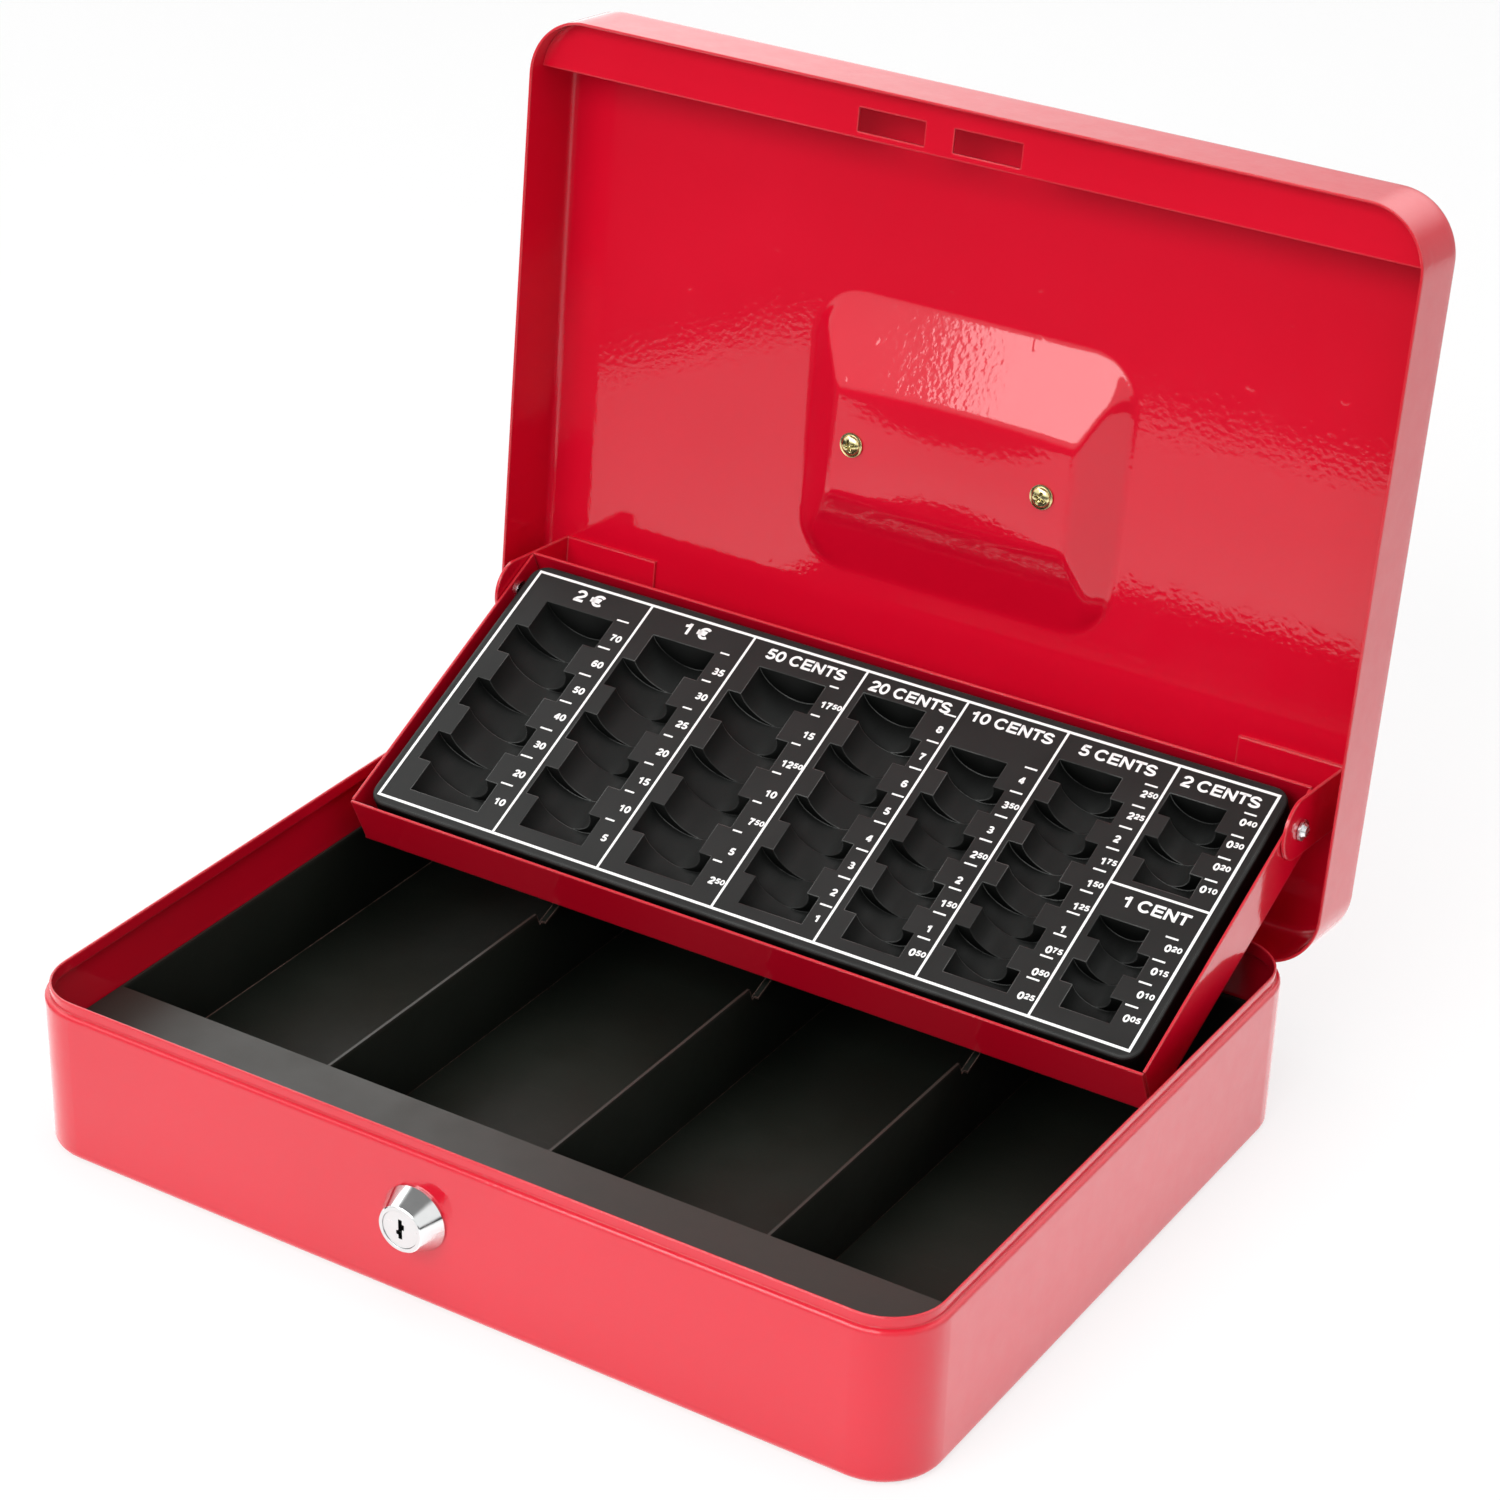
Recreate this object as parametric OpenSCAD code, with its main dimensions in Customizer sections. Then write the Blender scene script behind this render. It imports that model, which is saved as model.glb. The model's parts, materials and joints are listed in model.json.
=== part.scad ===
// Steel cash box with a hinged lid, a coin tray that lifts with the lid and a
// key lock with two swinging hooks. Drawn in its open state.
// X runs along the front, Y to the back, Z up; the origin is the centre of
// the bottom of the base. Millimetres.

/* [Body] */
// overall width of the base and the lid
body_w = 300; // [290:1:320]
// depth of the base, front face to back face
body_d = 230; // [226:1:250]
// height of the shoulder the closed lid rests on
shoulder_z = 50; // [50:0.5:60]
// vertical corner radius of base and lid
corner_r = 19; // [16:0.5:24]
// sheet thickness of base and lid
sheet = 0.8; // [0.7:0.05:1]
// how far the neck stands in from the wall
neck_inset = 1.6; // [1.2:0.1:2.2]
// height of the neck above the shoulder
neck_h = 3.4; // [2:0.1:4.5]

/* [Lid] */
// depth of the lid from rim to top
lid_h = 25.6; // [25:0.1:34]
// how far the lid reaches behind the base, over the hinges
lid_overhang = 4.7; // [4.5:0.1:5.5]
// angle the lid is swung open in the drawn state
lid_open = 95.7; // [70:0.1:96]
// hinge axis height below the shoulder
hinge_drop = 6.3; // [6:0.1:8]
// distance of each hinge from the middle
hinge_x = 85; // [60:1:110]

/* [Coin tray] */
// outside width of the sheet pan
tray_w = 280; // [278:0.5:280]
// outside depth of the sheet pan
tray_d = 112; // [110:0.5:114]
// height of the pan walls
tray_h = 18.5; // [17.5:0.1:18.6]
// tilt of the tray in the drawn state
tray_tilt = 25.1; // [10:0.1:25.1]
// distance of the tray pivot from the back of the lid
pivot_yl = 48.1; // [46:0.1:50]
// distance of the tray pivot below the lid rim
pivot_drop = 4.8; // [4.4:0.1:5]
// distance of the pivot in front of the tray's back edge
pivot_u = 12.4; // [11:0.1:14]

/* [Note compartments] */
// height of the dividers, the side walls and the front ledge
divider_z = 32; // [26:0.5:32]
// depth of the front ledge above the lock
ledge_d = 43; // [40:0.5:50]
// position of the left divider
divider_left_x = -71; // [-80:0.5:-60]
// position of the middle divider
divider_mid_x = 7; // [-5:0.5:12]
// position of the right divider
divider_right_x = 79.5; // [70:0.5:88]

/* [Lock] */
// position of the lock along the front
lock_x = -7.6; // [-10:0.1:10]
// height of the lock axis
lock_z = 28.8; // [28.8:0.1:28.8]
// how far the bezel stands out of the front
bezel_h = 7.5; // [5:0.5:10]

/* [Handle] */
// handle recess centre from the lid's middle line
handle_x = 2; // [-5:0.5:5]
// depth of the handle recess
recess_h = 10.8; // [9:0.1:11]
// distance between the two handle lugs
lug_gap = 67; // [60:1:70]

/* [Hidden] */
$fn = 48;
red = [0.82, 0.03, 0.1];
black = [0.1, 0.1, 0.1];
steel = [0.75, 0.75, 0.77];
chrome = [0.86, 0.87, 0.88];
brass = [0.8, 0.65, 0.3];

fit = 0.02; // between a rivet and its hole
bevel_x = 0.25; // bevel on the edges of neck and lid rim
bevel_z = 0.3;
back_y = body_d / 2;
front_y = -back_y;
front_in = front_y + sheet;
side_x = body_w / 2;

// lid in its closed place
rim_z = shoulder_z + 0.15;
lid_top = rim_z + lid_h;
lid_d = body_d + lid_overhang;
lid_back = back_y + lid_overhang;
lid_back_in = lid_back - sheet;

// hinges
hinge_y = back_y + 2.2;
hinge_z = shoulder_z - hinge_drop;
hinge_half = 20; // half the width of a leaf
leaf_t = 1;
leaf_rivet_r = 1.5;
leaf_rivet_x = 12; // from the middle of the leaf
base_rivet_z = 28;
lid_rivet_z = hinge_z + 15;
hinge_xs = [-hinge_x, hinge_x];
leaf_rivet_xs = [for (x = hinge_xs, s = [-1, 1]) x + s * leaf_rivet_x];

// tray pivot with the lid closed, then in the drawn state
pivot_y = lid_back - pivot_yl;
pivot_z = rim_z - pivot_drop;
open_pivot_y = hinge_y + (pivot_y - hinge_y) * cos(-lid_open) - (pivot_z - hinge_z) * sin(-lid_open);
open_pivot_z = hinge_z + (pivot_y - hinge_y) * sin(-lid_open) + (pivot_z - hinge_z) * cos(-lid_open);
pivot_r = 2;

// tray in its closed place
tray_back = pivot_y + pivot_u;
tray_front = tray_back - tray_d;
tray_top = divider_z + 0.15 + tray_h;

// lining of the base
liner_gap = 0.3;
liner_t = 0.9;
liner_fit = 0.05; // between a divider and the lining
liner_z = sheet + 0.1;
ledge_y = front_y + ledge_d + 0.8;

// lock and hooks
barrel_r = 8.5;
cam_square = 5;
hook_y = front_y + 11.6;
hook_x = 8; // from the lock axis
hook_z = 30;
hook_turn = 78;
hook_rivet_r = 2;

// handle
recess_z = lid_top - recess_h;
bail_y = lid_back - 119.9;
bail_z = recess_z + 4;
bail_reach = 26;
bail_rise = 3.2;
bail_r = 2.25;

function arc(cx, cy, radius, from, to, steps) = [
  for (i = [0:steps])
    let (a = from + (to - from) * i / steps)
      [cx + radius * cos(a), cy + radius * sin(a)]];

// swings a closed-lid shape into the drawn state
module lid_at()
  translate([0, hinge_y, hinge_z]) rotate([-lid_open, 0, 0])
    translate([0, -hinge_y, -hinge_z]) children();
// swings a closed-tray shape into the drawn state
module tray_at()
  translate([0, open_pivot_y, open_pivot_z]) rotate([tray_tilt, 0, 0])
    translate([0, -pivot_y, -pivot_z]) children();
// mirrors a right-hand shape when side is -1
module to_side(side) mirror([side < 0 ? 1 : 0, 0, 0]) children();
module both_sides() for (s = [0, 1]) mirror([s, 0, 0]) children();

// wall running round a rounded rectangle; the child is its section, x
// measured outwards from the corner axis
module ring(width, depth, radius) {
  for (a = [0, 90, 180, 270]) {
    along_y = a % 180 == 0;
    length = (along_y ? depth : width) - 2 * radius;
    out = (along_y ? width : depth) / 2 - radius;
    rotate([0, 0, a]) translate([out, length / 2, 0]) {
      rotate([90, 0, 0]) linear_extrude(height = length) children();
      rotate_extrude(angle = 90, $fn = 72) children();
    }
  }
}
module rounded_rect(width, depth, radius, facets = 72) {
  square([width - 2 * radius, depth], center = true);
  square([width, depth - 2 * radius], center = true);
  for (x = [-1, 1], y = [-1, 1])
    translate([x * (width / 2 - radius), y * (depth / 2 - radius)])
      circle(r = radius, $fn = facets);
}
// cylinder along Y
module rod_y(x, z, radius, from, to)
  translate([x, from, z]) rotate([-90, 0, 0]) cylinder(r = radius, h = to - from);
// cylinder along X
module rod_x(y, z, radius, from, to)
  translate([from, y, z]) rotate([0, 90, 0]) cylinder(r = radius, h = to - from);
// plate across Y; the child is drawn in x and z
module plate_xz(from, to)
  translate([0, to, 0]) rotate([90, 0, 0]) linear_extrude(height = to - from) children();
// plate across X; the child is drawn in y and z
module plate_yz(from, to)
  translate([from, 0, 0]) rotate([90, 0, 90]) linear_extrude(height = to - from) children();

module base_shell() color(red) {
  foot_r = 2.5;
  shoulder_r = 1.4;
  neck = corner_r - neck_inset;
  neck_in = neck - sheet;
  neck_z = shoulder_z + neck_h;
  difference() {
    union() {
      ring(body_w, body_d, corner_r) polygon(concat(
        arc(corner_r - foot_r, foot_r, foot_r, -90, 0, 6),
        arc(corner_r - shoulder_r, shoulder_z - shoulder_r, shoulder_r, 0, 90, 5),
        [[neck, shoulder_z], [neck, neck_z - bevel_z],
         [neck - bevel_x, neck_z], [neck_in + bevel_x, neck_z],
         [neck_in, neck_z - bevel_z], [neck_in, shoulder_z - sheet],
         [corner_r - sheet, shoulder_z - sheet - 1]],
        arc(corner_r - foot_r, foot_r, foot_r - sheet, 0, -90, 6)));
      linear_extrude(height = sheet)
        rounded_rect(body_w - 2 * foot_r, body_d - 2 * foot_r, corner_r - foot_r);
    }
    rod_y(lock_x, lock_z, barrel_r + 0.03, front_y - 1, front_y + 2);
    for (x = leaf_rivet_xs) rod_y(x, base_rivet_z, leaf_rivet_r + fit, back_y - 3, back_y + 1);
  }
}

// black lining: floor, low side walls, back wall and the front ledge
module note_liner() color(black) {
  inset = sheet + liner_gap;
  width = body_w - 2 * inset;
  depth = body_d - 2 * inset;
  radius = corner_r - inset;
  tall = 60; // beyond the top of the lining
  wall_lift = 0.95;
  // the outline follows the fillet at the bottom of the base:
  // lift above the floor, step inwards, height
  steps = [[0, 0.95, 1], [0.35, 0.35, 1], [wall_lift, 0, divider_z - liner_z - wall_lift]];
  difference() {
    intersection() {
      union() for (step = steps)
        translate([0, 0, liner_z + step[0]]) linear_extrude(height = step[2])
          rounded_rect(width - 2 * step[1], depth - 2 * step[1], radius - step[1]);
      union() {
        translate([-side_x, ledge_y - 1, 0]) cube([body_w, body_d, liner_z + liner_t]);
        translate([-side_x, ledge_y - liner_t, 0]) cube([body_w, liner_t, tall]);
        translate([-side_x, front_y, divider_z - liner_t])
          cube([body_w, ledge_y - front_y, liner_t]);
        difference() {
          translate([-side_x, ledge_y - 1, 0]) cube([body_w, body_d, tall]);
          translate([0, 0, -1]) linear_extrude(height = tall + 10)
            rounded_rect(width - 2 * liner_t, depth - 2 * liner_t, radius - liner_t);
        }
      }
    }
    // cutout in the ledge above the lock
    translate([lock_x - 44, front_y, divider_z - 5]) cube([88, 15.5, 10]);
  }
}

module divider(x) color(black) {
  front = ledge_y + liner_fit;
  back = back_y - sheet - liner_gap - liner_t - liner_fit;
  bottom = liner_z + liner_t + liner_fit;
  top = divider_z;
  half_t = 0.45;
  dip_y = 34; // front end of the dip in the top edge
  // top edge from the back down into the dip
  slope = [[back, top], [dip_y + 14.5, top], [dip_y + 3, top - 4]];
  plate_yz(x - half_t, x + half_t) polygon(concat(
    [[front, bottom], [back, bottom]],
    slope,
    [[dip_y + 1.8, top - 4.6], [dip_y, top], [front, top]]));
  // folded top edge the tray's front edge slides on
  plate_yz(x - half_t, x + 1.75) polygon(concat(
    [[back, top - 0.8]],
    slope,
    [[dip_y + 3.2, top - 4.7], [dip_y + 14.7, top - 0.8]]));
}
module divider_left() divider(divider_left_x);
module divider_middle() divider(divider_mid_x);
module divider_right() divider(divider_right_x);

// bezel and barrel in one piece, bored for the plug
module lock_body() color(chrome) {
  bezel_r = 10.3;
  face_r = 7.3;
  barrel_l = 7.5;
  difference() {
    // local +z points to the front
    translate([lock_x, 0, lock_z]) rotate([90, 0, 0]) translate([0, 0, back_y]) {
      cylinder(r = bezel_r, h = 0.7, $fn = 72);
      translate([0, 0, 0.7]) cylinder(r1 = bezel_r, r2 = face_r, h = bezel_h - 1, $fn = 72);
      translate([0, 0, bezel_h - 0.3]) cylinder(r1 = face_r, r2 = 7, h = 0.3, $fn = 72);
      translate([0, 0, -barrel_l]) cylinder(r = barrel_r, h = barrel_l, $fn = 72);
    }
    rod_y(lock_x, lock_z, 5.95, front_y - bezel_h - 1, front_y + 9);
  }
}
module lock_nut() color(steel) difference() {
  translate([lock_x, front_in, lock_z]) rotate([-90, 0, 0]) cylinder(r = 12.4, h = 3, $fn = 6);
  rod_y(lock_x, lock_z, barrel_r + 0.04, front_y, front_y + 5);
}
// upright slot with a side step to the right and one to the left
module keyway() {
  square([1.3, 6.4], center = true);
  translate([0.75, 0.9]) square([1.2, 1.8], center = true);
  translate([-0.75, -1.2]) square([1.2, 1.4], center = true);
}
// plug with a square end that carries the cam
module lock_plug() color(chrome) {
  face = front_y - bezel_h + 0.25;
  back = front_y + 7.6;
  difference() {
    rod_y(lock_x, lock_z, 5.88, face, back);
    translate([lock_x, 0, lock_z]) plate_xz(face - 1, face + 11) keyway();
  }
  translate([lock_x - cam_square / 2, back, lock_z - cam_square / 2])
    cube([cam_square, 1.7, cam_square]);
}
module lock_cam() color(steel) {
  arm_w = 6.4;
  arm_l = 9.5;
  hole = cam_square + 2 * fit;
  difference() {
    translate([lock_x, 0, lock_z]) plate_xz(front_y + 7.8, front_y + 9.2) {
      circle(r = 6);
      translate([-arm_w / 2, -arm_l]) square([arm_w, arm_l]);
      translate([0, -arm_l]) circle(r = arm_w / 2);
    }
    translate([lock_x - hole / 2, front_y + 7, lock_z - hole / 2]) cube([hole, 4, hole]);
  }
}
// slotted screw head behind the cam
module cam_screw() color(steel) difference() {
  rod_y(lock_x, lock_z, 3, front_y + 9.3, front_y + 10.2);
  translate([lock_x - 2.2, front_y + 9.8, lock_z - 0.4]) cube([4.4, 1, 0.8]);
}

// bracket behind the front wall that carries the two hooks
module latch_case() color(steel) {
  plate = 1;
  half_w = 17;
  bottom = 11;
  side_h = 11;
  foot_w = 9;
  front = hook_y + 1.1;
  side_d = front - front_in + 0.5;
  difference() {
    translate([lock_x - half_w, front, bottom]) cube([2 * half_w, plate, 31]);
    for (s = [-1, 1])
      rod_y(lock_x + s * hook_x, hook_z, hook_rivet_r + fit, front - 1, front + 2);
  }
  for (s = [-1, 1])
    translate([lock_x + s * (half_w - plate / 2) - plate / 2, front_in, bottom])
      cube([plate, side_d, side_h]);
  translate([lock_x - half_w, front_in, bottom]) cube([2 * half_w, side_d, plate]);
  // spot-welded feet
  for (s = [-1, 1])
    translate([lock_x + s * (half_w - plate + foot_w / 2) - foot_w / 2, front_in, bottom])
      cube([foot_w, plate, side_h]);
}
module latch_rivets() color(steel) {
  head_r = 3.2;
  for (s = [-1, 1]) {
    x = lock_x + s * hook_x;
    rod_y(x, hook_z, hook_rivet_r, hook_y - 2.1, hook_y + 2.6);
    rod_y(x, hook_z, head_r, hook_y - 2.1, hook_y - 1.2);
    rod_y(x, hook_z, head_r, hook_y + 2.1, hook_y + 3);
  }
}
// one hook: boss, arm and nose, drawn stowed with the arm swung outwards
module hook(side) color(steel) {
  reach = 32;
  nose_in = 28.4;
  arm_end = 28;
  translate([lock_x + side * hook_x, 0, hook_z]) to_side(side)
    plate_xz(hook_y - 1, hook_y + 1) rotate(-hook_turn) difference() {
      union() {
        circle(r = 4.5);
        polygon(concat([[0, 0]], arc(0, 0, reach, 75, 87, 4), [[0, 0.1]]));
        polygon(concat(arc(0, 0, reach, 86, 102.5, 5), arc(0, 0, nose_in, 102.5, 86, 5)));
        polygon(concat([[-2.4, 3], [3.6, 2]], arc(0, 0, arm_end, 76, 86, 1)));
      }
      circle(r = hook_rivet_r + 0.06);
    }
}
module hook_left() hook(-1);
module hook_right() hook(1);

// hinge: knuckles behind the base, leaf of the lid inside the lid's back wall
knuckle_r = 2;
pin_r = 1.2;
module hinge_base_leaf(x) color(red) {
  bottom = 20;
  knuckle_l = 13;
  difference() {
    union() {
      translate([x - hinge_half, back_y, bottom])
        cube([2 * hinge_half, leaf_t, hinge_z - 2.6 - bottom]);
      for (s = [-1, 1]) {
        start = x + s * (hinge_half - knuckle_l / 2) - knuckle_l / 2;
        translate([start, back_y, hinge_z - 5]) cube([knuckle_l, leaf_t, 5]);
        rod_x(hinge_y, hinge_z, knuckle_r, start, start + knuckle_l);
      }
    }
    rod_x(hinge_y, hinge_z, pin_r + 0.02, x - 30, x + 30);
    for (s = [-1, 1])
      rod_y(x + s * leaf_rivet_x, base_rivet_z, leaf_rivet_r + fit, back_y - 1, back_y + 3);
  }
}
module hinge_lid_leaf(x) lid_at() color(red) {
  knuckle_half = 6.8;
  front = lid_back_in - leaf_t;
  difference() {
    union() {
      translate([x - hinge_half, front, hinge_z + 2.9]) cube([2 * hinge_half, leaf_t, 17.6]);
      translate([x - knuckle_half, front, hinge_z]) cube([2 * knuckle_half, leaf_t, 4]);
      rod_x(hinge_y, hinge_z, knuckle_r, x - knuckle_half, x + knuckle_half);
    }
    rod_x(hinge_y, hinge_z, pin_r + 0.05, x - 30, x + 30);
    for (s = [-1, 1])
      rod_y(x + s * leaf_rivet_x, lid_rivet_z, leaf_rivet_r + fit, lid_back - 4, lid_back + 1);
  }
}
module hinge_base_leaf_left() hinge_base_leaf(-hinge_x);
module hinge_base_leaf_right() hinge_base_leaf(hinge_x);
module hinge_lid_leaf_left() hinge_lid_leaf(-hinge_x);
module hinge_lid_leaf_right() hinge_lid_leaf(hinge_x);
module hinge_pins() color(steel) {
  head_r = 1.7;
  head_in = hinge_half + 0.05;
  head_out = hinge_half + 0.7;
  for (x = hinge_xs) {
    rod_x(hinge_y, hinge_z, pin_r, x - hinge_half - 0.1, x + hinge_half + 0.1);
    rod_x(hinge_y, hinge_z, head_r, x - head_out, x - head_in);
    rod_x(hinge_y, hinge_z, head_r, x + head_in, x + head_out);
  }
}
leaf_rivet_head_r = 2.8;
module hinge_rivets_base() color(red) for (x = leaf_rivet_xs) {
  rod_y(x, base_rivet_z, leaf_rivet_r, back_y - sheet, back_y + 1.3);
  rod_y(x, base_rivet_z, leaf_rivet_head_r, back_y + leaf_t + fit, back_y + 1.9);
}
module hinge_rivets_lid() lid_at() color(red) for (x = leaf_rivet_xs) {
  rod_y(x, lid_rivet_z, leaf_rivet_r, lid_back_in - 1.4, lid_back);
  rod_y(x, lid_rivet_z, leaf_rivet_head_r, lid_back_in - 1.9, lid_back_in - leaf_t - fit);
}

// handle recess: hollow with grow = 0, its outside with grow = 2 * sheet
module recess(grow) hull($fn = 32) {
  translate([handle_x, bail_y, recess_z + (grow > 0 ? -sheet : 0)])
    linear_extrude(height = 0.01) rounded_rect(85 + grow, 34 + grow, 4 + grow / 2, 32);
  translate([handle_x, bail_y, lid_top + (grow > 0 ? -sheet : 0.01)])
    linear_extrude(height = 0.01) rounded_rect(112 + grow, 90 + grow, 14 + grow / 2, 32);
}
module lid_shell() lid_at() color(red) {
  inner = corner_r - sheet;
  edge_r = 3;
  difference() {
    union() {
      translate([0, lid_overhang / 2, rim_z]) {
        ring(body_w, lid_d, corner_r) polygon(concat(
          [[inner, bevel_z], [inner + bevel_x, 0], [corner_r - bevel_x, 0], [corner_r, bevel_z]],
          arc(corner_r - edge_r, lid_h - edge_r, edge_r, 0, 90, 6),
          arc(corner_r - edge_r, lid_h - edge_r, edge_r - sheet, 90, 0, 6)));
        translate([0, 0, lid_h - sheet]) linear_extrude(height = sheet)
          rounded_rect(body_w - 2 * edge_r, lid_d - 2 * edge_r, corner_r - edge_r);
      }
      recess(2 * sheet);
    }
    recess(0);
    for (s = [-1, 1])
      translate([handle_x + s * lug_gap / 2, bail_y, recess_z - 3]) cylinder(r = 1.7, h = 4);
    for (x = leaf_rivet_xs) rod_y(x, lid_rivet_z, leaf_rivet_r + fit, lid_back - 2, lid_back + 1);
  }
}
// strip inside the lid's front with the two hook slots
module lid_lock_strip() lid_at() color(red) {
  strip_t = 0.8;
  bottom = rim_z + 5.9;
  back = front_y + 17.3;
  gap = 0.05; // to the inside of the lid
  inset = sheet + gap;
  slot_w = 22.8;
  end_x = side_x - corner_r - 2;
  difference() {
    union() {
      intersection() {
        translate([0, lid_overhang / 2, bottom]) linear_extrude(height = 4)
          rounded_rect(body_w - 2 * inset, lid_d - 2 * inset, corner_r - inset);
        union() {
          translate([-side_x, front_y, bottom]) cube([body_w, back - front_y, strip_t]);
          translate([-side_x, back - strip_t, bottom]) cube([body_w, strip_t, 3]);
        }
      }
      translate([-end_x, front_in + gap, bottom]) cube([2 * end_x, strip_t, 7]);
    }
    for (s = [-1, 1])
      translate([lock_x + s * 16.3 - slot_w / 2, front_y + 8, bottom - 1]) cube([slot_w, 7.2, 3]);
  }
}

// plate beside the tray, with a tab under the lid's top
module tray_bracket(side) lid_at() color(red) to_side(side) {
  plate = 1;
  inner_x = tray_w / 2 + 0.3;
  tab_x = 105.8;
  end_r = 9.7;
  end_y = lid_back - 48.8;
  end_z = rim_z - 6.5;
  top = lid_top - sheet;
  translate([tab_x, end_y - end_r, top - plate])
    cube([inner_x + plate - tab_x, 2 * end_r, plate]);
  difference() {
    plate_yz(inner_x, inner_x + plate) {
      translate([end_y - end_r, end_z]) square([2 * end_r, top - end_z]);
      translate([end_y, end_z]) circle(r = end_r, $fn = 72);
    }
    rod_x(pivot_y, pivot_z, pivot_r + 0.07, inner_x - 1, inner_x + 2);
  }
}
module tray_bracket_left() tray_bracket(-1);
module tray_bracket_right() tray_bracket(1);

module tray_pan() tray_at() color(red) {
  half_w = tray_w / 2;
  bottom = tray_top - tray_h;
  inset = 0.3; // of the front and back walls at their ends
  gap = 0.35; // between the side walls and those walls
  translate([-half_w, tray_front, bottom]) cube([tray_w, tray_d, sheet]);
  for (y = [tray_front, tray_back - sheet])
    translate([-half_w + inset, y, bottom]) cube([tray_w - 2 * inset, sheet, tray_h]);
  difference() {
    for (x = [-half_w, half_w - sheet])
      translate([x, tray_front + sheet + gap, bottom])
        cube([sheet, tray_d - 2 * sheet - 2 * gap, tray_h]);
    rod_x(pivot_y, pivot_z, pivot_r + fit, -half_w - 5, half_w + 5);
  }
}
module tray_rivets() tray_at() color(chrome) both_sides() {
  outer = tray_w / 2;
  inner = outer - sheet;
  rod_x(pivot_y, pivot_z, pivot_r, inner - 0.5, outer + 2.4);
  rod_x(pivot_y, pivot_z, 3.2, inner - 0.9, inner - fit);
  rod_x(pivot_y, pivot_z, 3.3, outer + 1.5, outer + 2.3);
  translate([outer + 2.3, pivot_y, pivot_z]) rotate([0, 90, 0])
    cylinder(r1 = 2.3, r2 = 1.7, h = 1.1);
}

// coin columns, from the insert's centre: left edge of the right-hand stacks,
// coin diameter, length of a stack of five, stacks, back end, shift to the
// left of every second stack
columns = [
  [-123.6, 25.8, 11.9, 7, 39.1, 4.6],
  [-82.3, 23.3, 11.8, 7, 38.8, 4.6],
  [-42.6, 24.3, 11.95, 7, 39.2, 4.6],
  [-1.5, 22.3, 10.75, 8, 41.2, 4.2],
  [34.5, 19.8, 9.6, 8, 31.9, 4.2],
  [68.9, 21.3, 8.35, 10, 39.1, 4.6],
  [105.7, 18.8, 8.4, 4, 39.1, 4.2],
  [106.7, 16.3, 8.5, 4, -9, 4.2]];
// block below the insert's top that holds one column
module column_block(column, wall) {
  coin_d = column[1];
  length = column[2] * column[3];
  shift = column[5];
  translate([column[0] - shift - wall, column[4] - length - wall, -coin_d / 2 - 1.4])
    cube([coin_d + shift + 2 * wall, length + 2 * wall, coin_d / 2 + 0.7]);
}
// half-round troughs of one column, open at the top
module column_troughs(column) {
  coin_d = column[1];
  length = column[2];
  stacks = column[3];
  lap = 0.002; // overlap of neighbouring troughs
  for (i = [1:stacks]) {
    x = column[0] - (i % 2 == 0 ? column[5] : 0);
    y = column[4] - length * (stacks - i + 1) - lap;
    translate([x + coin_d / 2, y, -0.3]) rotate([-90, 0, 0])
      cylinder(r = coin_d / 2, h = length + 2 * lap, $fn = 64);
    translate([x, y, -0.3]) cube([coin_d, length + 2 * lap, 2]);
  }
}
module coin_insert() tray_at() color(black) {
  width = 271.5;
  depth = 105.5;
  radius = 6;
  wall = 1.4;
  edge_r = 1.2;
  skirt_h = tray_h - sheet + 0.25;
  translate([0, (tray_front + tray_back) / 2 - 0.5, tray_top + 0.3]) {
    ring(width, depth, radius) polygon(concat(
      [[radius - wall, -skirt_h], [radius, -skirt_h], [radius, -1.6]],
      arc(radius - edge_r, -edge_r, edge_r, 0, 90, 4),
      [[radius - 4, 0], [radius - 4, -wall], [radius - wall, -wall]]));
    difference() {
      union() {
        translate([0, 0, -wall]) linear_extrude(height = wall)
          rounded_rect(width - 4, depth - 4, radius - 2);
        for (column = columns) column_block(column, 1.3);
      }
      for (column = columns) column_troughs(column);
    }
  }
}

module handle_lug(side) lid_at() color(chrome) {
  x = handle_x + side * lug_gap / 2;
  bottom = recess_z + 0.02;
  half_w = 5;
  radius = 5.5;
  difference() {
    union() {
      translate([x - half_w, bail_y - radius, bottom]) cube([2 * half_w, 2 * radius, 4]);
      rod_x(bail_y, bail_z, radius, x - half_w, x + half_w);
    }
    rod_x(bail_y, bail_z, bail_r + 0.06, x - 20, x + 20);
    translate([x - 10, bail_y - 10, bottom - 3]) cube([20, 20, 3]);
    translate([x, bail_y, bottom - 1]) cylinder(r = 1.55, h = 2.2);
  }
}
module handle_lug_left() handle_lug(-1);
module handle_lug_right() handle_lug(1);
// brass cross-head screws put in from inside the lid
module handle_screws() lid_at() color(brass) for (s = [-1, 1])
  translate([handle_x + s * lug_gap / 2, bail_y, recess_z - sheet]) {
    head_r = 3.3;
    translate([0, 0, -0.02]) cylinder(r = 1.5, h = sheet + 1.1);
    difference() {
      union() {
        translate([0, 0, -1.02]) cylinder(r = head_r, h = 1);
        translate([0, 0, -2]) cylinder(r1 = 2, r2 = head_r, h = 1);
      }
      for (a = [20, 110])
        rotate([0, 0, a]) translate([-1.9, -0.35, -2.6]) cube([3.8, 0.7, 1.7]);
    }
  }
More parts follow.
